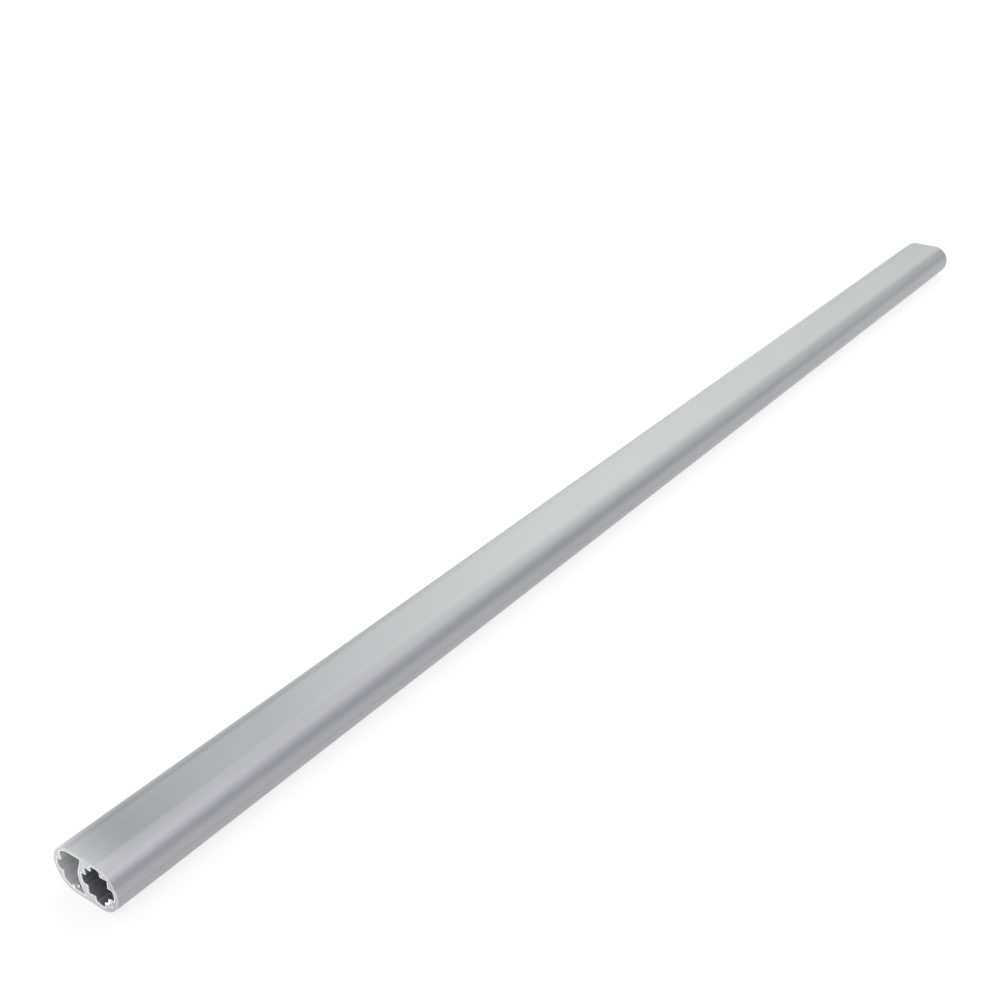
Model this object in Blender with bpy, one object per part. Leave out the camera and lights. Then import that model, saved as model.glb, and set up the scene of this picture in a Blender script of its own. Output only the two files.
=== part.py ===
"""Bottom rail of a roller blind: one straight hollow aluminium extrusion, sawn square at both ends.

Frame: +X along the rail, +Z up, origin under the middle of the rail at the height of its flat
underside. The section holds two chambers side by side. The one towards -Y is a round bore whose
wall carries eight teeth: a square opening with a round-bottomed notch in each side. The one
towards +Y has flat walls above and below, a bowed divider on one side and two teeth at the
rounded end. All lengths are in metres.
"""

import math

import bpy
from mathutils import Matrix, Vector

MM = 0.001

# Overall size of the rail
RAIL_LENGTH = 650.0 * MM
RAIL_WIDTH = 28.0 * MM
RAIL_HEIGHT = 17.0 * MM

# Section
OUTER_WALL = 1.25 * MM          # skin over the chambers, measured above the notches
CHAMBER_RAISE = 0.2 * MM        # the chambers sit this much above mid-height, so the floor is thicker
DIVIDER_WALL = 1.6 * MM         # bowed divider, outside the bore's notch circle
DIVIDER_DROP = 0.7 * MM         # the bow's centre sits this much below the bore's, so the divider leans
DIVIDER_BOW_HALF_ANGLE = 23.0   # degrees each way from level, beyond it the divider runs straight
NOTCH_HALF_WIDTH = 2.0 * MM     # round-bottomed notches between the teeth
TOOTH_LEAN = 0.20 * MM          # how far a tooth's tip leans in past the square opening's side
POCKET_REACH = 0.23 * MM        # how far the bore's corner pockets go past the notch circle
FLOOR_RIB_HEIGHT = 1.2 * MM     # low rib that stands on the floor of the second chamber
FLOOR_RIB_HALF_WIDTH = 0.40 * MM
FLOOR_RIB_OFFSET = 0.85 * MM    # from the middle of that floor towards the rounded edge

# Fillets
TOOTH_TIP_RADIUS = 0.20 * MM
NOTCH_CORNER_RADIUS = 0.60 * MM
POCKET_RADIUS = 0.25 * MM       # inside corners between a tooth and the wall
FLOOR_RIB_RADIUS = 0.20 * MM
DIVIDER_ROOT_RADIUS = 0.5 * MM  # inside corners where the divider meets the flat walls

# Fineness of the drawn curves
ARC_STEP = 6.0                  # degrees between points on the large arcs
FILLET_STEPS = 3                # segments in each small fillet
FILLET_SHARE = 0.45             # most of a neighbouring edge that a fillet may take up

ALUMINIUM_COLOUR = (0.76, 0.77, 0.79, 1.0)
ALUMINIUM_ROUGHNESS = 0.36

# Values that follow from the sizes above
EDGE_RADIUS = RAIL_HEIGHT / 2
EDGE_CENTRE_OFFSET = RAIL_WIDTH / 2 - EDGE_RADIUS
NOTCH_RADIUS = EDGE_RADIUS - OUTER_WALL - CHAMBER_RAISE
SQUARE_HALF = NOTCH_RADIUS / math.sqrt(2)
DIVIDER_RADIUS = NOTCH_RADIUS + DIVIDER_WALL
BORE_CENTRE = Vector((-EDGE_CENTRE_OFFSET, RAIL_HEIGHT / 2 + CHAMBER_RAISE))
CHAMBER_CENTRE = Vector((EDGE_CENTRE_OFFSET, RAIL_HEIGHT / 2 + CHAMBER_RAISE))
DIVIDER_CENTRE = BORE_CENTRE - Vector((0, DIVIDER_DROP))


def clear_scene():
    for old in list(bpy.data.objects):
        bpy.data.objects.remove(old, do_unlink=True)


def arc(centre, radius, start, end, step=ARC_STEP):
    """Points on an arc, both ends included, from start to end in degrees."""
    count = max(1, math.ceil(abs(end - start) / step))
    angles = [math.radians(start + (end - start) * i / count) for i in range(count + 1)]
    return [centre + radius * Vector((math.cos(a), math.sin(a))) for a in angles]


def filleted(corners):
    """Round the corners of a closed outline. Each corner is (point, radius)."""
    outline = []
    for i, (point, radius) in enumerate(corners):
        if radius <= 0:
            outline.append(point)
            continue
        before = corners[i - 1][0] - point
        after = corners[(i + 1) % len(corners)][0] - point
        half = before.angle(after) / 2
        reach = min(radius / math.tan(half), FILLET_SHARE * min(before.length, after.length))
        before.normalize()
        after.normalize()
        middle = point + (before + after).normalized() * reach / math.cos(half)
        first = point + before * reach - middle
        last = point + after * reach - middle
        turn = -first.angle_signed(last)
        for k in range(FILLET_STEPS + 1):
            outline.append(middle + Matrix.Rotation(turn * k / FILLET_STEPS, 2) @ first)
    return outline


def rail_outline():
    """Outside of the section: flat above and below, a half circle at each edge."""
    middle = Vector((0, RAIL_HEIGHT / 2))
    offset = Vector((EDGE_CENTRE_OFFSET, 0))
    return arc(middle + offset, EDGE_RADIUS, -90, 90) + arc(middle - offset, EDGE_RADIUS, 90, 270)


def toothed_side(centre, turn):
    """One side of the toothed opening: two tooth tips and the notch between them, turned about centre."""
    tip = SQUARE_HALF - TOOTH_LEAN
    mouth = math.asin(NOTCH_HALF_WIDTH / NOTCH_RADIUS)
    corner = NOTCH_RADIUS * math.cos(mouth)
    bottom = arc(Vector((0, 0)), NOTCH_RADIUS, -math.degrees(mouth) / 2, math.degrees(mouth) / 2)
    side = [(Vector((tip, -NOTCH_HALF_WIDTH)), TOOTH_TIP_RADIUS)]
    side += [(Vector((corner, -NOTCH_HALF_WIDTH)), NOTCH_CORNER_RADIUS)]
    side += [(point, 0) for point in bottom]
    side += [(Vector((corner, NOTCH_HALF_WIDTH)), NOTCH_CORNER_RADIUS)]
    side += [(Vector((tip, NOTCH_HALF_WIDTH)), TOOTH_TIP_RADIUS)]
    spin = Matrix.Rotation(math.radians(turn), 2)
    return [(centre + spin @ point, radius) for point, radius in side]


def bore_outline():
    """Round bore with eight teeth: a square opening with a notch in the middle of each side."""
    corners = []
    for turn in (0, 90, 180, 270):
        corners += toothed_side(BORE_CENTRE, turn)
        diagonal = math.radians(turn + 45)
        pocket = BORE_CENTRE + (NOTCH_RADIUS + POCKET_REACH) * Vector((math.cos(diagonal), math.sin(diagonal)))
        corners.append((pocket, POCKET_RADIUS))
    return filleted(corners)


def divider_foot(side):
    """Where the straight run of the divider meets the wall above (1) or below (-1)."""
    bow = math.radians(DIVIDER_BOW_HALF_ANGLE)
    start = DIVIDER_CENTRE + DIVIDER_RADIUS * Vector((math.cos(bow), side * math.sin(bow)))
    along = Vector((-math.sin(bow), side * math.cos(bow)))
    wall = CHAMBER_CENTRE.y + side * NOTCH_RADIUS
    foot = start + along * abs(wall - start.y) / math.cos(bow)
    if foot.x > CHAMBER_CENTRE.x:
        # past the chamber's centre the wall curves in, and the run ends on the curve
        out = start - CHAMBER_CENTRE
        level = out.dot(along)
        foot = start + along * (math.sqrt(level ** 2 - out.length_squared + NOTCH_RADIUS ** 2) - level)
    return foot


def chamber_floor(across):
    """A point on the second chamber's floor, which curves up past the chamber's centre."""
    past = max(0.0, across - CHAMBER_CENTRE.x)
    return Vector((across, CHAMBER_CENTRE.y - math.sqrt(NOTCH_RADIUS ** 2 - past ** 2)))


def curve_between(turn, start, end):
    """Points of the chamber's curve below (-90) or above (90), as far as the pocket, that lie from start to end across."""
    spread = arc(CHAMBER_CENTRE, NOTCH_RADIUS, turn, turn / 2)
    return [point for point in spread if start < point.x < end]


def chamber_outline():
    """Second chamber: bowed divider, flat walls, rounded end with two teeth, low floor rib."""
    foot_below, foot_above = divider_foot(-1), divider_foot(1)
    rib = (foot_below.x + CHAMBER_CENTRE.x + SQUARE_HALF) / 2 + FLOOR_RIB_OFFSET
    rib_foot_in = chamber_floor(rib - FLOOR_RIB_HALF_WIDTH)
    rib_foot_out = chamber_floor(rib + FLOOR_RIB_HALF_WIDTH)
    rib_up = Vector((0, FLOOR_RIB_HEIGHT))
    inner = curve_between(-90, foot_below.x, rib_foot_in.x)
    lower = curve_between(-90, rib_foot_out.x, math.inf)
    upper = curve_between(90, foot_above.x, math.inf)[::-1]
    bow = arc(DIVIDER_CENTRE, DIVIDER_RADIUS, DIVIDER_BOW_HALF_ANGLE, -DIVIDER_BOW_HALF_ANGLE)
    corners = [(foot_below, DIVIDER_ROOT_RADIUS)] + [(point, 0) for point in inner]
    corners += [(rib_foot_in, 0), (rib_foot_in + rib_up, FLOOR_RIB_RADIUS)]
    corners += [(rib_foot_out + rib_up, FLOOR_RIB_RADIUS), (rib_foot_out, 0)]
    corners += [(point, 0) for point in lower[:-1]] + [(lower[-1], POCKET_RADIUS)]
    corners += toothed_side(CHAMBER_CENTRE, 0)
    corners += [(upper[0], POCKET_RADIUS)] + [(point, 0) for point in upper[1:]]
    corners += [(foot_above, DIVIDER_ROOT_RADIUS)] + [(point, 0) for point in bow]
    return filleted(corners)


def extruded(name, outlines, length, collection):
    """A flat curve with its openings cut out, given its length and laid along X."""
    curve = bpy.data.curves.new(name, "CURVE")
    curve.dimensions = "2D"
    curve.fill_mode = "BOTH"
    curve.extrude = length / 2
    for outline in outlines:
        spline = curve.splines.new("POLY")
        spline.points.add(len(outline) - 1)
        for slot, point in zip(spline.points, outline):
            slot.co = (point.x, point.y, 0, 1)
        spline.use_cyclic_u = True
    drawn = bpy.data.objects.new(name, curve)
    collection.objects.link(drawn)
    # the curve's own X becomes Y, its Y becomes Z, and its extrusion runs along X
    drawn.matrix_world = Matrix(((0, 0, 1, 0), (1, 0, 0, 0), (0, 1, 0, 0), (0, 0, 0, 1)))
    return drawn


def aluminium():
    material = bpy.data.materials.new("satin_aluminium")
    material.use_nodes = True
    shader = material.node_tree.nodes["Principled BSDF"]
    shader.inputs["Base Color"].default_value = ALUMINIUM_COLOUR
    shader.inputs["Metallic"].default_value = 1.0
    shader.inputs["Roughness"].default_value = ALUMINIUM_ROUGHNESS
    return material


def build():
    clear_scene()
    parts = bpy.data.collections.new("roller_blind_rail")
    bpy.context.scene.collection.children.link(parts)
    outlines = [rail_outline(), bore_outline(), chamber_outline()]
    rail = extruded("bottom_rail", outlines, RAIL_LENGTH, parts)
    rail.data.materials.append(aluminium())


build()
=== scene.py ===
import math

import bmesh
import bpy
from mathutils import Matrix, Quaternion, Vector, noise
from mathutils.geometry import tessellate_polygon


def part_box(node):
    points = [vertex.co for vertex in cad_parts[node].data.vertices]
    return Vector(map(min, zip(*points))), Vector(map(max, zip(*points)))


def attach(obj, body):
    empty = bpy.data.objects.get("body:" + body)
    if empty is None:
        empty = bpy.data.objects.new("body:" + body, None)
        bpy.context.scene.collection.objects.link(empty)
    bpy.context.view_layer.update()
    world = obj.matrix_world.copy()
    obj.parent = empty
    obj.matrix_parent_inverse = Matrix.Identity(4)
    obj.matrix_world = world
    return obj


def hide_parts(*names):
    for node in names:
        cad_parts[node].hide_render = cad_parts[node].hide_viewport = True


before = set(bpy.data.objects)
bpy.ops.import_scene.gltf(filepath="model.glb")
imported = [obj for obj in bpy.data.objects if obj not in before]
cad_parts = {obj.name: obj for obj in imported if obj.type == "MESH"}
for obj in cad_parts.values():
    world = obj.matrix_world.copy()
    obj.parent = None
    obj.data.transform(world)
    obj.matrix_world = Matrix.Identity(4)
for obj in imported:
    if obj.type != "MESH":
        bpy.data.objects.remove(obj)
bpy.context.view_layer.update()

mm = 0.001

# the rail's section, in metres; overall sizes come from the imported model
rail = {
    "outerWall": 1.25 * mm,
    "chamberRaise": 0.2 * mm,
    "dividerWall": 1.6 * mm,
    "dividerDrop": 0.7 * mm,     # the bow's centre sits this much below the bore's
    "dividerBow": 23.0,          # degrees each way from level
    "notchHalfWidth": 2.0 * mm,
    "toothLean": 0.20 * mm,
    "pocketReach": 0.23 * mm,
    "floorRibHeight": 1.2 * mm,
    "floorRibHalfWidth": 0.40 * mm,
    "floorRibOffset": 0.85 * mm,
    "toothTipRadius": 0.20 * mm,
    "notchCornerRadius": 0.60 * mm,
    "pocketRadius": 0.25 * mm,
    "floorRibRadius": 0.20 * mm,
    "dividerRootRadius": 0.5 * mm,
    "arcStep": 2.0,              # degrees between points of the large arcs
    "cornerSteps": 6,
    "cornerShare": 0.45,         # most of a neighbouring edge that a rounded corner takes up
    "leastRadius": 0.03 * mm,    # a corner keeps this when it is moved into the metal
    "sharpestStretch": 0.35,     # limits how far a sharp corner runs out when it is moved
    "hairlineAngle": 2.5,        # degrees below level on the toothed side
    "hairlineHalfWidth": 0.16 * mm,
    "hairlineDepth": 0.10 * mm,
}

# the saw cut at each end: (depth from the end, how far into the metal), from the wall to the cut face
sawCut = {
    "innerLip": [(0.34 * mm, 0.0), (0.12 * mm, 0.02 * mm), (0.03 * mm, 0.07 * mm), (0.0, 0.16 * mm),
                 (0.02 * mm, 0.26 * mm), (0.06 * mm, 0.36 * mm)],
    "outerRim": [(0.30 * mm, 0.0), (0.16 * mm, 0.02 * mm), (0.09 * mm, 0.07 * mm), (0.06 * mm, 0.16 * mm)],
    "lipWander": 0.045 * mm,     # how far the torn lip wanders along an opening
    "wanderScale": 1500.0,
    "wanderSeed": 7,             # without it the lip would differ from one run to the next
    "smoothBelow": 38.0,         # degrees; sharper edges than this stay crisp
}

# thin bent slivers on the near end, in the lip's near-white colour with its painted highlight: points across
# and up, in millimetres
slivers = [
    {
        "path": [(-7.8, 3.65), (-8.8, 4.0), (-9.55, 4.6), (-9.95, 5.5), (-10.3, 6.6)],
        "width": 1.15,
        "twist": 0.05,
    },
    {
        "path": [(-8.5, 16.1), (-9.0, 15.9), (-9.45, 15.55), (-9.6, 15.0)],
        "width": 0.62,
        "twist": 0.04,
    },
    {
        "path": [(-8.7, 14.4), (-8.9, 14.9), (-9.35, 15.2)],
        "width": 0.55,
        "twist": 0.03,
    },
]
sliverShape = {
    "front": 0.05 * mm,          # depth of its face and of its back behind the end
    "back": 0.13 * mm,
    "stepsBetween": 4,           # points drawn between two points of a path
    "evenWidth": 0.75,           # share of the width that stays, and the share that varies
    "unevenWidth": 0.35,
    "unevenScale": 2600,
    "unevenSlice": 0.3,
}

# a bright flake that leans inside the chamber, in the lip's near-white colour with its painted highlight;
# lengths in millimetres
brightFlake = {
    "place": (1.15, 5.85),       # inward from the near end, and across
    "size": (0.45, 0.85, 0.07),  # long, wide and thick
    "rise": 0.62,
    "riseCurve": 1.4,
    "tipNarrowing": 0.9,
    "turn": 20.0,                # degrees, seen from above
    "rings": 9,
}

boxLow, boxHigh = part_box("bottom_rail")
railLength = boxHigh.x - boxLow.x
railWidth = boxHigh.y - boxLow.y
railHeight = boxHigh.z - boxLow.z
middleX = (boxHigh.x + boxLow.x) / 2
edgeRadius = railHeight / 2
edgeOffset = railWidth / 2 - edgeRadius
notchRadius = edgeRadius - rail["outerWall"] - rail["chamberRaise"]
squareHalf = notchRadius / math.sqrt(2)
dividerRadius = notchRadius + rail["dividerWall"]
boreCentre = Vector((-edgeOffset, railHeight / 2 + rail["chamberRaise"]))
chamberCentre = Vector((edgeOffset, railHeight / 2 + rail["chamberRaise"]))
dividerCentre = boreCentre - Vector((0, rail["dividerDrop"]))


def arcPoints(centre, radius, start, end, step):
    count = max(1, math.ceil(abs(end - start) / step - 1e-6))
    angles = [math.radians(start + (end - start) * i / count) for i in range(count + 1)]
    return [centre + radius * Vector((math.cos(a), math.sin(a))) for a in angles]


def outerCorners():
    # flat above and below, a half circle at each edge, and the die's hairline on the toothed side
    middle = Vector((0, railHeight / 2))
    offset = Vector((edgeOffset, 0))
    half = math.degrees(rail["hairlineHalfWidth"] / edgeRadius)
    line = 180 + rail["hairlineAngle"]
    across = math.radians(line)
    outward = Vector((math.cos(across), math.sin(across)))
    bottom = middle - offset + (edgeRadius - rail["hairlineDepth"]) * outward
    points = arcPoints(middle + offset, edgeRadius, -90, 90, rail["arcStep"])
    points += arcPoints(middle - offset, edgeRadius, 90, line - half, rail["arcStep"])
    points += [bottom]
    points += arcPoints(middle - offset, edgeRadius, line + half, 270, rail["arcStep"])
    return [(point, 0) for point in points]


def toothedSide(centre, turn):
    # two tooth tips and the notch between them, turned about the centre
    halfWidth = rail["notchHalfWidth"]
    tip = squareHalf - rail["toothLean"]
    mouth = math.asin(halfWidth / notchRadius)
    corner = notchRadius * math.cos(mouth)
    spread = math.degrees(mouth) / 2
    side = [(Vector((tip, -halfWidth)), rail["toothTipRadius"])]
    side += [(Vector((corner, -halfWidth)), rail["notchCornerRadius"])]
    side += [(point, 0) for point in arcPoints(Vector((0, 0)), notchRadius, -spread, spread, rail["arcStep"])]
    side += [(Vector((corner, halfWidth)), rail["notchCornerRadius"])]
    side += [(Vector((tip, halfWidth)), rail["toothTipRadius"])]
    spin = Matrix.Rotation(math.radians(turn), 2)
    return [(centre + spin @ point, radius) for point, radius in side]


def boreCorners():
    corners = []
    for turn in (0, 90, 180, 270):
        corners += toothedSide(boreCentre, turn)
        diagonal = math.radians(turn + 45)
        outward = Vector((math.cos(diagonal), math.sin(diagonal)))
        corners.append((boreCentre + (notchRadius + rail["pocketReach"]) * outward, rail["pocketRadius"]))
    return corners


def dividerFoot(side):
    bow = math.radians(rail["dividerBow"])
    start = dividerCentre + dividerRadius * Vector((math.cos(bow), side * math.sin(bow)))
    wall = chamberCentre.y + side * notchRadius
    return Vector((start.x - abs(wall - start.y) * math.tan(bow), wall))


def chamberFloor(across):
    past = max(0.0, across - chamberCentre.x)
    return Vector((across, chamberCentre.y - math.sqrt(notchRadius ** 2 - past ** 2)))


def curveBetween(turn, start, end):
    spread = arcPoints(chamberCentre, notchRadius, turn, turn / 2, rail["arcStep"])
    return [point for point in spread if start < point.x < end]


def chamberCorners():
    # bowed divider, flat walls, rounded end with two teeth, low rib on the floor
    footBelow, footAbove = dividerFoot(-1), dividerFoot(1)
    rib = (footBelow.x + chamberCentre.x + squareHalf) / 2 + rail["floorRibOffset"]
    ribIn = chamberFloor(rib - rail["floorRibHalfWidth"])
    ribOut = chamberFloor(rib + rail["floorRibHalfWidth"])
    ribUp = Vector((0, rail["floorRibHeight"]))
    lower = curveBetween(-90, ribOut.x, math.inf)
    upper = curveBetween(90, footAbove.x, math.inf)[::-1]
    bow = arcPoints(dividerCentre, dividerRadius, rail["dividerBow"], -rail["dividerBow"], rail["arcStep"])
    corners = [(footBelow, rail["dividerRootRadius"])]
    corners += [(point, 0) for point in curveBetween(-90, footBelow.x, ribIn.x)]
    corners += [(ribIn, 0), (ribIn + ribUp, rail["floorRibRadius"])]
    corners += [(ribOut + ribUp, rail["floorRibRadius"]), (ribOut, 0)]
    corners += [(point, 0) for point in lower[:-1]] + [(lower[-1], rail["pocketRadius"])]
    corners += toothedSide(chamberCentre, 0)
    corners += [(upper[0], rail["pocketRadius"])] + [(point, 0) for point in upper[1:]]
    corners += [(footAbove, rail["dividerRootRadius"])] + [(point, 0) for point in bow]
    return corners


def loopAt(corners, into, metalLeft):
    # the rounded outline, moved into the metal by a distance; every distance gives the same number of points
    side = 1 if metalLeft else -1
    moved = []
    for i, (point, radius) in enumerate(corners):
        before = (point - corners[i - 1][0]).normalized()
        after = (corners[(i + 1) % len(corners)][0] - point).normalized()
        left = Vector((-before.y - after.y, before.x + after.x)).normalized()
        stretch = max(rail["sharpestStretch"], left.dot(Vector((-before.y, before.x))))
        turn = 1 if before.x * after.y - before.y * after.x > 0 else -1
        if radius > 0:
            radius = max(rail["leastRadius"], radius - side * into * turn)
        moved.append((point + left * side * into / stretch, radius))
    outline = []
    steps = rail["cornerSteps"]
    for i, (point, radius) in enumerate(moved):
        if radius <= 0:
            outline.append(point)
            continue
        before = moved[i - 1][0] - point
        after = moved[(i + 1) % len(moved)][0] - point
        half = before.angle(after) / 2
        reach = min(radius / math.tan(half), rail["cornerShare"] * min(before.length, after.length))
        before.normalize()
        after.normalize()
        middle = point + (before + after).normalized() * reach / math.cos(half)
        first = point + before * reach - middle
        last = point + after * reach - middle
        turn = -first.angle_signed(last)
        for k in range(steps + 1):
            outline.append(middle + Matrix.Rotation(turn * k / steps, 2) @ first)
    return outline


# a noise pattern keeps near one half, so it is stretched from these spans to the whole of its use
narrowSpan = (0.4, 0.6)
middleSpan = (0.35, 0.65)
wideSpan = (0.3, 0.7)
waveSpan = (0.2, 0.8)


def noiseNode(nodes, links, coords, scale, detail, roughness):
    texture = nodes.new("ShaderNodeTexNoise")
    texture.inputs["Scale"].default_value = scale
    texture.inputs["Detail"].default_value = detail
    texture.inputs["Roughness"].default_value = roughness
    links.new(coords, texture.inputs["Vector"])
    return texture.outputs["Fac"]


def stretched(nodes, links, coords, scale):
    mapping = nodes.new("ShaderNodeMapping")
    mapping.inputs["Scale"].default_value = scale
    links.new(coords, mapping.inputs["Vector"])
    return mapping.outputs["Vector"]


def mapRange(nodes, links, value, fromMin, fromMax, toMin, toMax):
    ranged = nodes.new("ShaderNodeMapRange")
    for name, number in (("From Min", fromMin), ("From Max", fromMax), ("To Min", toMin), ("To Max", toMax)):
        ranged.inputs[name].default_value = number
    links.new(value, ranged.inputs["Value"])
    return ranged.outputs["Result"]


def mathNode(nodes, links, operation, first, second):
    node = nodes.new("ShaderNodeMath")
    node.operation = operation
    for socket, value in zip(node.inputs, (first, second)):
        if isinstance(value, (int, float)):
            socket.default_value = value
        else:
            links.new(value, socket)
    return node.outputs["Value"]


def blend(nodes, links, first, second, share):
    # two patterns added, the first by its share and the second by the rest
    return mathNode(nodes, links, "ADD", mathNode(nodes, links, "MULTIPLY", first, share),
                    mathNode(nodes, links, "MULTIPLY", second, round(1 - share, 6)))


def mixColour(nodes, links, factor, first, second):
    mix = nodes.new("ShaderNodeMix")
    mix.data_type = "RGBA"
    links.new(factor, mix.inputs["Factor"])
    for socket, value in ((mix.inputs["A"], first), (mix.inputs["B"], second)):
        if isinstance(value, tuple):
            socket.default_value = (*value, 1)
        else:
            links.new(value, socket)
    return mix.outputs["Result"]


def bumpNode(nodes, links, height, strength, distance, normal=None):
    bump = nodes.new("ShaderNodeBump")
    bump.inputs["Strength"].default_value = strength
    bump.inputs["Distance"].default_value = distance
    links.new(height, bump.inputs["Height"])
    if normal:
        links.new(normal, bump.inputs["Normal"])
    return bump.outputs["Normal"]


def newMetal(look):
    material = bpy.data.materials.new(look["name"])
    material.use_nodes = True
    nodes, links = material.node_tree.nodes, material.node_tree.links
    shader = nodes["Principled BSDF"]
    shader.inputs["Metallic"].default_value = look["metallic"]
    coords = nodes.new("ShaderNodeTexCoord").outputs["Object"]
    return material, nodes, links, shader, coords


def setRoughness(nodes, links, shader, pattern, span, look):
    # the roughness swings by its spread about its middle as the pattern goes over its span
    rough = mapRange(nodes, links, pattern, *span, look["roughness"] - look["roughnessSpread"],
                     look["roughness"] + look["roughnessSpread"])
    links.new(rough, shader.inputs["Roughness"])


# satin anodised outside of the rail
satinSkin = {
    "name": "satinAnodisedSkin",
    "colour": (0.368, 0.367, 0.385),
    "pale": (0.412, 0.412, 0.427),
    "bareEdge": (0.86, 0.86, 0.87),
    "nearEndPale": (0.64, 0.638, 0.655),
    "nearEndPaleReach": 17.0 * mm,    # how far from the near end the skin turns paler
    "nearEndPaleFlat": (-10.0 * mm, -4.5 * mm),   # the paleness fades across from the flat to the toothed edge
    "nearEndPaleLeast": 0.05,
    "nearEndPaleCurve": 2.0,          # above 1 the paleness gathers towards the end
    "nearEndPaleUneven": (0.8, 1.1),
    "metallic": 1.0,
    "roughness": 0.40,
    "roughnessSpread": 0.05,
    "lengthwise": (0.0015, 1.0, 1.0),
    "dieLineScale": 2600.0,
    "broadLineScale": 420.0,
    "dieLineBump": 0.20,
    "dieLineDepth": 0.02 * mm,
    "cloudStretch": (0.35, 1.0, 1.0),
    "cloudScale": 38.0,
    "etchScale": 4200.0,
    "etchBump": 0.16,
    "etchDepth": 0.01 * mm,
    "edgeWear": 0.35 * mm,
    "wearFrom": -0.15,           # shares of the wear's depth over which the coating gives way
    "wearTo": 0.25,
    "wearScale": 1400.0,
}


def makeSatinSkin():
    look = satinSkin
    material, nodes, links, shader, coords = newMetal(look)
    lengthwise = stretched(nodes, links, coords, look["lengthwise"])
    dieLines = noiseNode(nodes, links, lengthwise, look["dieLineScale"], 3.0, 0.6)
    broadLines = noiseNode(nodes, links, lengthwise, look["broadLineScale"], 2.0, 0.5)
    clouded = stretched(nodes, links, coords, look["cloudStretch"])
    clouds = noiseNode(nodes, links, clouded, look["cloudScale"], 3.0, 0.55)
    etch = noiseNode(nodes, links, coords, look["etchScale"], 2.0, 0.5)
    streaks = blend(nodes, links, dieLines, broadLines, 0.6)
    tone = blend(nodes, links, streaks, clouds, 0.6)
    paleness = mapRange(nodes, links, tone, *middleSpan, 0.0, 1.0)
    colour = mixColour(nodes, links, paleness, look["colour"], look["pale"])
    place = nodes.new("ShaderNodeSeparateXYZ")
    links.new(coords, place.inputs["Vector"])
    # paler towards the near end, on the flats more than on the toothed edge
    nearness = mapRange(nodes, links, place.outputs["X"], boxLow.x, boxLow.x + look["nearEndPaleReach"], 1.0, 0.0)
    nearEndPaleness = mathNode(nodes, links, "POWER", nearness, look["nearEndPaleCurve"])
    uneven = mapRange(nodes, links, clouds, *wideSpan, *look["nearEndPaleUneven"])
    nearEndPaleness = mathNode(nodes, links, "MULTIPLY", nearEndPaleness, uneven)
    onFlat = mapRange(nodes, links, place.outputs["Y"], *look["nearEndPaleFlat"], look["nearEndPaleLeast"], 1.0)
    nearEndPaleness = mathNode(nodes, links, "MULTIPLY", nearEndPaleness, onFlat)
    colour = mixColour(nodes, links, nearEndPaleness, colour, look["nearEndPale"])
    # bare metal where the saw broke the coating at each end
    fromMiddle = mathNode(nodes, links, "SUBTRACT", place.outputs["X"], middleX)
    fromMiddle = mathNode(nodes, links, "ABSOLUTE", fromMiddle, 0.0)
    ragged = noiseNode(nodes, links, coords, look["wearScale"], 2.0, 0.6)
    ragged = mathNode(nodes, links, "MULTIPLY", ragged, look["edgeWear"])
    reach = mathNode(nodes, links, "ADD", fromMiddle, ragged)
    wear = mapRange(nodes, links, reach, railLength / 2 + look["wearFrom"] * look["edgeWear"],
                    railLength / 2 + look["wearTo"] * look["edgeWear"], 0.0, 1.0)
    colour = mixColour(nodes, links, wear, colour, look["bareEdge"])
    links.new(colour, shader.inputs["Base Color"])
    setRoughness(nodes, links, shader, tone, wideSpan, look)
    normal = bumpNode(nodes, links, streaks, look["dieLineBump"], look["dieLineDepth"])
    normal = bumpNode(nodes, links, etch, look["etchBump"], look["etchDepth"], normal)
    links.new(normal, shader.inputs["Normal"])
    return material


# mill finish inside the bore
boreInside = {
    "name": "millFinishBore",
    "colour": (0.44, 0.445, 0.45),
    "pale": (0.54, 0.54, 0.54),
    "metallic": 1.0,
    "roughness": 0.45,
    "roughnessSpread": 0.08,
    "dieLineScale": 1800.0,
    "dieLineBump": 0.35,
    "dieLineDepth": 0.03 * mm,
    "lengthwise": (0.004, 1.0, 1.0),
    "smearStretch": (0.2, 1.0, 1.0),
    "smearScale": 160.0,
}
# the chamber beside it: the same metal as a rougher, paler and less metallic copy; the paler colour is
# painted light inside the chamber
chamberInsidePaintedLighter = {
    "name": "chamberPaintedLighter",
    "colour": (0.58, 0.58, 0.575),
    "pale": (0.67, 0.67, 0.66),
    "metallic": 0.35,
    "roughness": 0.55,
    "roughnessSpread": 0.08,
    "dieLineScale": 1500.0,
    "dieLineBump": 0.30,
    "dieLineDepth": 0.03 * mm,
    "lengthwise": (0.004, 1.0, 1.0),
    "smearStretch": (0.2, 1.0, 1.0),
    "smearScale": 160.0,
}


def makeInside(look):
    material, nodes, links, shader, coords = newMetal(look)
    lengthwise = stretched(nodes, links, coords, look["lengthwise"])
    dieLines = noiseNode(nodes, links, lengthwise, look["dieLineScale"], 4.0, 0.65)
    smeared = stretched(nodes, links, coords, look["smearStretch"])
    smears = noiseNode(nodes, links, smeared, look["smearScale"], 3.0, 0.6)
    tone = blend(nodes, links, dieLines, smears, 0.5)
    paleness = mapRange(nodes, links, tone, *middleSpan, 0.0, 1.0)
    colour = mixColour(nodes, links, paleness, look["colour"], look["pale"])
    links.new(colour, shader.inputs["Base Color"])
    setRoughness(nodes, links, shader, tone, wideSpan, look)
    normal = bumpNode(nodes, links, dieLines, look["dieLineBump"], look["dieLineDepth"])
    links.new(normal, shader.inputs["Normal"])
    return material
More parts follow.
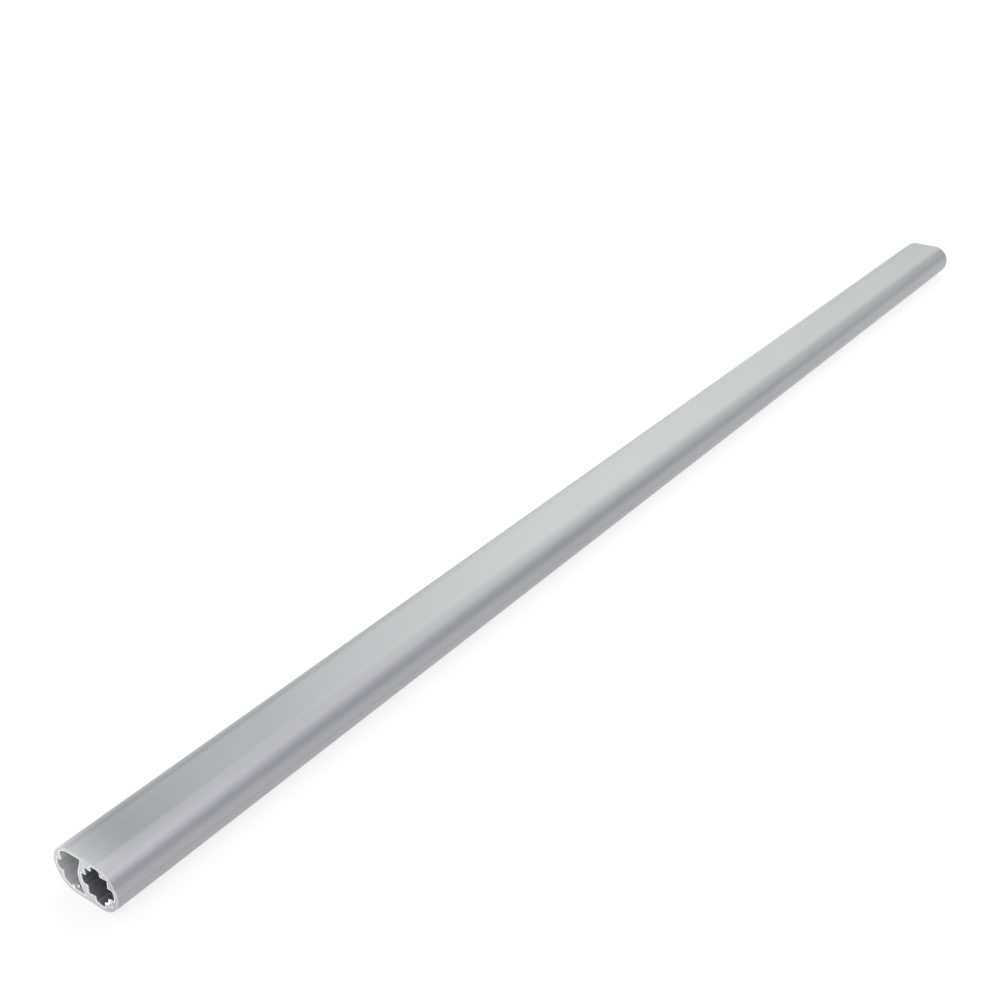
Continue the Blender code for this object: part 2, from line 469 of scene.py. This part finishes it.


# the sawn ends: arcs left by the blade, and bright lips where the cut met an opening, their near-white colour
# partly a painted highlight
sawnFace = {
    "name": "sawnMetal",
    "colour": (0.60, 0.60, 0.605),
    "pale": (0.70, 0.70, 0.695),
    "darkerSide": (0.53, 0.505, 0.545),
    "darkerSideFrom": -2.0 * mm,       # the cut turns darker and lilac from here across
    "darkerSideTo": -11.5 * mm,
    "darkerSideWander": 4 * mm,
    "metallic": 1.0,
    "roughness": 0.46,
    "roughnessSpread": 0.10,
    "bladeCentre": (0.0, 0.035, -0.135),
    "toothMarkScale": 620.0,
    "toothMarkDistortion": 2.2,
    "toothMarkDetail": 2.0,
    "toothMarkDetailScale": 1.4,
    "toothMarkBump": 0.25,
    "toothMarkDepth": 0.02 * mm,
    "gritScale": 5200.0,
}


def makeSawnFace():
    look = sawnFace
    material, nodes, links, shader, coords = newMetal(look)
    shift = nodes.new("ShaderNodeMapping")
    shift.inputs["Location"].default_value = [-value for value in look["bladeCentre"]]
    shift.inputs["Scale"].default_value = (0.0, 1.0, 1.0)
    links.new(coords, shift.inputs["Vector"])
    arcs = nodes.new("ShaderNodeTexWave")
    arcs.wave_type = "RINGS"
    arcs.rings_direction = "X"
    arcs.inputs["Scale"].default_value = look["toothMarkScale"]
    arcs.inputs["Distortion"].default_value = look["toothMarkDistortion"]
    arcs.inputs["Detail"].default_value = look["toothMarkDetail"]
    arcs.inputs["Detail Scale"].default_value = look["toothMarkDetailScale"]
    links.new(shift.outputs["Vector"], arcs.inputs["Vector"])
    grit = noiseNode(nodes, links, coords, look["gritScale"], 3.0, 0.6)
    marks = blend(nodes, links, arcs.outputs["Fac"], grit, 0.6)
    colour = mixColour(nodes, links, marks, look["colour"], look["pale"])
    place = nodes.new("ShaderNodeSeparateXYZ")
    links.new(coords, place.inputs["Vector"])
    # the cut darkens and turns lilac across towards the bore's side
    wander = mathNode(nodes, links, "SUBTRACT", grit, 0.5)
    wander = mathNode(nodes, links, "MULTIPLY", wander, look["darkerSideWander"])
    across = mathNode(nodes, links, "ADD", place.outputs["Y"], wander)
    darkerSideShare = mapRange(nodes, links, across, look["darkerSideFrom"], look["darkerSideTo"], 0.0, 1.0)
    colour = mixColour(nodes, links, darkerSideShare, colour, look["darkerSide"])
    links.new(colour, shader.inputs["Base Color"])
    setRoughness(nodes, links, shader, marks, waveSpan, look)
    normal = bumpNode(nodes, links, marks, look["toothMarkBump"], look["toothMarkDepth"])
    links.new(normal, shader.inputs["Normal"])
    return material


# thin lip of bright metal around each opening; its near-white, barely metallic colour is partly a painted
# highlight along the edge
lipPaintedHighlight = {
    "name": "lipPaintedHighlight",
    # near-white and barely metallic so the lip looks bright from every side: bright cut metal with a painted
    # highlight
    "colour": (0.99, 0.99, 0.985),
    "shade": (0.92, 0.92, 0.925),
    "metallic": 0.15,
    "smooth": 0.28,              # roughness where the tear is clean, and where it is nicked
    "nicked": 0.41,
    "nickScale": 2600.0,
    "nickBump": 0.3,
    "nickDepth": 0.03 * mm,
}


def makeLipPaintedHighlight():
    look = lipPaintedHighlight
    material, nodes, links, shader, coords = newMetal(look)
    nicks = noiseNode(nodes, links, coords, look["nickScale"], 3.0, 0.6)
    brightness = mapRange(nodes, links, nicks, *narrowSpan, 0.0, 1.0)
    colour = mixColour(nodes, links, brightness, look["shade"], look["colour"])
    links.new(colour, shader.inputs["Base Color"])
    rough = mapRange(nodes, links, nicks, *wideSpan, look["smooth"], look["nicked"])
    links.new(rough, shader.inputs["Roughness"])
    normal = bumpNode(nodes, links, nicks, look["nickBump"], look["nickDepth"])
    links.new(normal, shader.inputs["Normal"])
    return material


skinSlot, boreSlot, chamberSlot, faceSlot, lipSlot = range(5)


def bridgeLoops(bm, first, second, slot):
    for i in range(len(first)):
        j = (i + 1) % len(first)
        face = bm.faces.new((first[i], first[j], second[j], second[i]))
        face.material_index = slot
        face.smooth = True


def tornLip(point, depth, end):
    # the lip's crest wanders a little, and never past the cut
    drift = noise.noise_vector(Vector((end * 0.5, point.x, point.y)) * sawCut["wanderScale"])
    moved = Vector((point.x + drift.x * sawCut["lipWander"], point.y + drift.y * sawCut["lipWander"]))
    return moved, depth + max(0.0, drift.z) * sawCut["lipWander"]


# strips drawn in the lip's near-white material, with its painted highlight
def addStrip(bm, rings):
    for first, second in zip(rings, rings[1:]):
        bridgeLoops(bm, first, second, lipSlot)
    for ring in (rings[0], rings[-1]):
        bm.faces.new(ring).material_index = lipSlot


def curveThrough(path, steps):
    # a smooth run of points through every point of the path
    fine = []
    for i in range(len(path) - 1):
        before, start = path[max(i - 1, 0)], path[i]
        stop, after = path[i + 1], path[min(i + 2, len(path) - 1)]
        for k in range(steps):
            t = k / steps
            slope = stop - before
            bend = 2 * before - 5 * start + 4 * stop - after
            twist = 3 * start - before - 3 * stop + after
            fine.append(0.5 * (2 * start + slope * t + bend * t ** 2 + twist * t ** 3))
    return fine + [path[-1]]


def addSliver(bm, sliver, endX):
    # a thin bent strip that lies in the cut and bridges its ends
    shape = sliverShape
    fine = curveThrough([Vector(point) * mm for point in sliver["path"]], shape["stepsBetween"])
    rings = []
    for i, point in enumerate(fine):
        share = i / (len(fine) - 1)
        along = (fine[min(i + 1, len(fine) - 1)] - fine[max(i - 1, 0)]).normalized()
        uneven = noise.noise(Vector((point.x, point.y, shape["unevenSlice"])) * shape["unevenScale"])
        across = Vector((-along.y, along.x)) * sliver["width"] * mm / 2
        across *= shape["evenWidth"] + shape["unevenWidth"] * uneven
        lift = sliver["twist"] * mm * math.sin(math.pi * share)
        ring = []
        for side, depth in ((-1, shape["front"]), (1, shape["front"] + lift),
                            (1, shape["back"] + lift), (-1, shape["back"])):
            place = point + across * side
            ring.append(bm.verts.new((endX + depth, place.x, place.y)))
        rings.append(ring)
    addStrip(bm, rings)


def addBrightFlake(bm, endX):
    # a bright flake that leans up from the chamber's floor, in the lip's painted-highlight colour
    inward, across = (value * mm for value in brightFlake["place"])
    long, wide, thick = (value * mm for value in brightFlake["size"])
    turn = math.radians(brightFlake["turn"])
    floor = chamberFloor(across).y
    rings = []
    for i in range(brightFlake["rings"]):
        out = i / (brightFlake["rings"] - 1) - 0.5
        ahead = out * long
        centre = Vector((endX + inward + ahead * math.cos(turn), across + ahead * math.sin(turn), 0))
        half = wide * (0.5 - brightFlake["tipNarrowing"] * out ** 2)
        side = Vector((-math.sin(turn), math.cos(turn), 0)) * half
        foot = floor + brightFlake["rise"] * mm * (out + 0.5) ** brightFlake["riseCurve"]
        ring = []
        for reach, lift in ((-1, 0), (1, 0), (1, thick), (-1, thick)):
            place = centre + side * reach
            ring.append(bm.verts.new((place.x, place.y, foot + lift)))
        rings.append(ring)
    addStrip(bm, rings)


def addFaces(bm, faceLoops):
    # the flat cut at each end, with both openings left out
    for loops in faceLoops.values():
        flat = [[Vector((v.co.y, v.co.z, 0)) for v in loop] for loop in loops]
        verts = [v for loop in loops for v in loop]
        for triangle in tessellate_polygon(flat):
            face = bm.faces.new([verts[i] for i in triangle])
            face.material_index = faceSlot


def buildRail():
    noise.seed_set(sawCut["wanderSeed"])
    bm = bmesh.new()
    shapes = [
        (outerCorners(), True, sawCut["outerRim"], skinSlot, skinSlot),
        (boreCorners(), False, sawCut["innerLip"], boreSlot, lipSlot),
        (chamberCorners(), False, sawCut["innerLip"], chamberSlot, lipSlot),
    ]
    faceLoops = {-1: [], 1: []}
    for corners, metalLeft, profile, wallSlot, rimSlot in shapes:
        rings = []
        for end in (-1, 1):
            rings.append([])
            for depth, into in profile:
                ring = []
                for point in loopAt(corners, into, metalLeft):
                    inward = depth
                    if not metalLeft and 0 < into < profile[-1][1]:
                        point, inward = tornLip(point, depth, end)
                    ring.append(bm.verts.new((middleX + end * (railLength / 2 - inward), point.x, point.y)))
                rings[-1].append(ring)
        near, far = rings
        bridgeLoops(bm, near[0], far[0], wallSlot)
        for ring in rings:
            for first, second in zip(ring, ring[1:]):
                bridgeLoops(bm, first, second, rimSlot)
        faceLoops[-1].append(near[-1])
        faceLoops[1].append(far[-1])
    addFaces(bm, faceLoops)
    for sliver in slivers:
        addSliver(bm, sliver, boxLow.x)
    addBrightFlake(bm, boxLow.x)
    bmesh.ops.recalc_face_normals(bm, faces=bm.faces)
    mesh = bpy.data.meshes.new("satinRail")
    bm.to_mesh(mesh)
    bm.free()
    # in the order of the slots above
    for material in (makeSatinSkin(), makeInside(boreInside), makeInside(chamberInsidePaintedLighter),
                     makeSawnFace(), makeLipPaintedHighlight()):
        mesh.materials.append(material)
    mesh.set_sharp_from_angle(angle=math.radians(sawCut["smoothBelow"]))
    made = bpy.data.objects.new("satinRail", mesh)
    bpy.context.scene.collection.objects.link(made)
    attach(made, "root")
    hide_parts("bottom_rail")


# pale table that the rail lies on
table = {
    "size": 14.0,
    "gap": 0.1 * mm,             # below the rail's underside
    "colour": (0.22, 0.22, 0.22),
    "glow": 0.77,
    "roughness": 0.85,
}


def buildTable():
    mesh = bpy.data.meshes.new("paleTable")
    half = table["size"] / 2
    z = boxLow.z - table["gap"]
    corners = [(-half, -half, z), (half, -half, z), (half, half, z), (-half, half, z)]
    mesh.from_pydata(corners, [], [(0, 1, 2, 3)])
    material = bpy.data.materials.new("paleTable")
    material.use_nodes = True
    nodes, links = material.node_tree.nodes, material.node_tree.links
    shader = nodes["Principled BSDF"]
    shader.inputs["Base Color"].default_value = (*table["colour"], 1)
    shader.inputs["Roughness"].default_value = table["roughness"]
    shader.inputs["Emission Color"].default_value = (1, 1, 1, 1)
    shader.inputs["Emission Strength"].default_value = table["glow"]
    mesh.materials.append(material)
    made = bpy.data.objects.new("paleTable", mesh)
    bpy.context.scene.collection.objects.link(made)


# each softbox: heading from +X towards +Y and height above the table in degrees, seen from the rail's
# middle; distance, width and height in metres
softboxes = {
    "overhead": {
        "heading": 0, "rise": 72, "away": 1.7, "size": (2.4, 2.4),
        "glow": 0.62, "colour": (1.0, 0.98, 0.95),
    },
    "backWall": {
        "heading": 28, "rise": 30, "away": 2.6, "size": (2.7, 1.9),
        "glow": 0.84, "colour": (0.97, 1.0, 0.85),
    },
    "lowWall": {
        "heading": 58, "rise": 7, "away": 2.6, "size": (3.0, 0.8),
        "glow": 0.55, "colour": (0.97, 1.0, 0.95),
    },
    "farSide": {
        "heading": -22, "rise": 24, "away": 2.6, "size": (1.3, 1.1),
        "glow": 0.50, "colour": (0.94, 1.0, 0.86),
    },
    "endWall": {
        "heading": 195, "rise": 25, "away": 2.2, "size": (1.8, 1.3),
        "glow": 0.78, "colour": (1.0, 1.0, 1.0),
    },
    "frontWall": {
        "heading": 250, "rise": 50, "away": 2.4, "size": (2.4, 1.4),
        "glow": 1.15, "colour": (0.97, 0.88, 1.0),
    },
}
fill = {"colour": (0.93, 0.95, 1.0), "glow": 0.70}


def buildLights():
    centre = Vector((middleX, 0, railHeight / 2))
    for name, box in softboxes.items():
        data = bpy.data.lights.new(name, "AREA")
        data.shape = "RECTANGLE"
        data.size, data.size_y = box["size"]
        data.color = box["colour"]
        data.energy = box["glow"] * math.pi * data.size * data.size_y
        made = bpy.data.objects.new(name, data)
        bpy.context.scene.collection.objects.link(made)
        heading, rise = math.radians(box["heading"]), math.radians(box["rise"])
        out = Vector((math.cos(heading) * math.cos(rise), math.sin(heading) * math.cos(rise), math.sin(rise)))
        made.location = centre + out * box["away"]
        made.rotation_mode = "QUATERNION"
        made.rotation_quaternion = (-out).to_track_quat("-Z", "Y")
    world = bpy.data.worlds.new("studioFill")
    world.use_nodes = True
    background = world.node_tree.nodes["Background"]
    background.inputs["Color"].default_value = (*fill["colour"], 1)
    background.inputs["Strength"].default_value = fill["glow"]
    bpy.context.scene.world = world


# heading is from +X towards +Y, drop is below level
camera = {
    "place": (-0.495745, -0.280428, 0.296353),
    "heading": 36.857,
    "drop": 28.434,
    "roll": -1.527,
    "lens": 50.77,
    "sensor": 36.0,
    "clip": (0.01, 50.0),
}


def buildCamera():
    data = bpy.data.cameras.new("camera")
    data.sensor_width = camera["sensor"]
    data.lens = camera["lens"]
    data.clip_start, data.clip_end = camera["clip"]
    made = bpy.data.objects.new("camera", data)
    bpy.context.scene.collection.objects.link(made)
    heading, drop = math.radians(camera["heading"]), math.radians(camera["drop"])
    ahead = Vector((math.cos(heading) * math.cos(drop), math.sin(heading) * math.cos(drop), -math.sin(drop)))
    made.location = camera["place"]
    made.rotation_mode = "QUATERNION"
    roll = Quaternion((0, 0, 1), math.radians(camera["roll"]))
    made.rotation_quaternion = ahead.to_track_quat("-Z", "Y") @ roll
    bpy.context.scene.camera = made


buildCamera()
print("camera placed")
buildRail()
print("rail built")
buildTable()
buildLights()
bpy.context.scene.view_settings.view_transform = "Standard"
print("table and lights placed")
